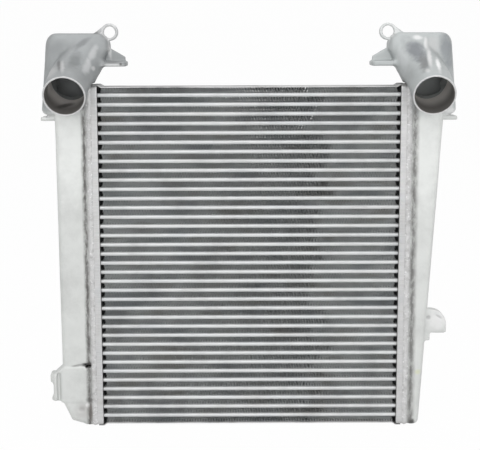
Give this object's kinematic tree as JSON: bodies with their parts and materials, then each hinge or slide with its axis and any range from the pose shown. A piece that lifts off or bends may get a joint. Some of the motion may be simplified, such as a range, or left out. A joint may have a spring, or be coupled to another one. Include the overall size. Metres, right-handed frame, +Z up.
{
  "type": "intercooler",
  "caption": "Charge air cooler: flat tubes and air fins between slotted headers, with cast end tanks whose swan-neck heads carry the hose ports.",
  "frame": {"origin": "under the middle of the whole cooler, on the plane that its feet stand on", "axes": "+X along the tubes, towards the tapered tank; -Y to the side that the ports face; +Z up"},
  "size_m": [0.798, 0.1756, 0.785],
  "materials": {
    "cast_tank": "satin",
    "header_plate": "satin",
    "weld_metal": "rough",
    "side_plate": "satin",
    "air_fin": "matte",
    "flat_tube": "satin"
  },
  "bodies": {
    "root": {"left_tank": "cast_tank", "right_tank": "cast_tank", "left_header": "header_plate", "right_header": "header_plate", "left_weld_bead": "weld_metal", "right_weld_bead": "weld_metal", "bottom_side_plate": "side_plate", "top_side_plate": "side_plate", "air_fins": "air_fin", "flat_tube_01": "flat_tube", "flat_tube_02": "flat_tube", "flat_tube_03": "flat_tube", "flat_tube_04": "flat_tube", "flat_tube_05": "flat_tube", "flat_tube_06": "flat_tube", "flat_tube_07": "flat_tube", "flat_tube_08": "flat_tube", "flat_tube_09": "flat_tube", "flat_tube_10": "flat_tube", "flat_tube_11": "flat_tube", "flat_tube_12": "flat_tube", "flat_tube_13": "flat_tube", "flat_tube_14": "flat_tube", "flat_tube_15": "flat_tube", "flat_tube_16": "flat_tube", "flat_tube_17": "flat_tube", "flat_tube_18": "flat_tube", "flat_tube_19": "flat_tube", "flat_tube_20": "flat_tube", "flat_tube_21": "flat_tube", "flat_tube_22": "flat_tube", "flat_tube_23": "flat_tube", "flat_tube_24": "flat_tube", "flat_tube_25": "flat_tube", "flat_tube_26": "flat_tube", "flat_tube_27": "flat_tube", "flat_tube_28": "flat_tube", "flat_tube_29": "flat_tube", "flat_tube_30": "flat_tube", "flat_tube_31": "flat_tube", "flat_tube_32": "flat_tube", "flat_tube_33": "flat_tube", "flat_tube_34": "flat_tube", "flat_tube_35": "flat_tube", "flat_tube_36": "flat_tube"}
  },
  "joints": []
}
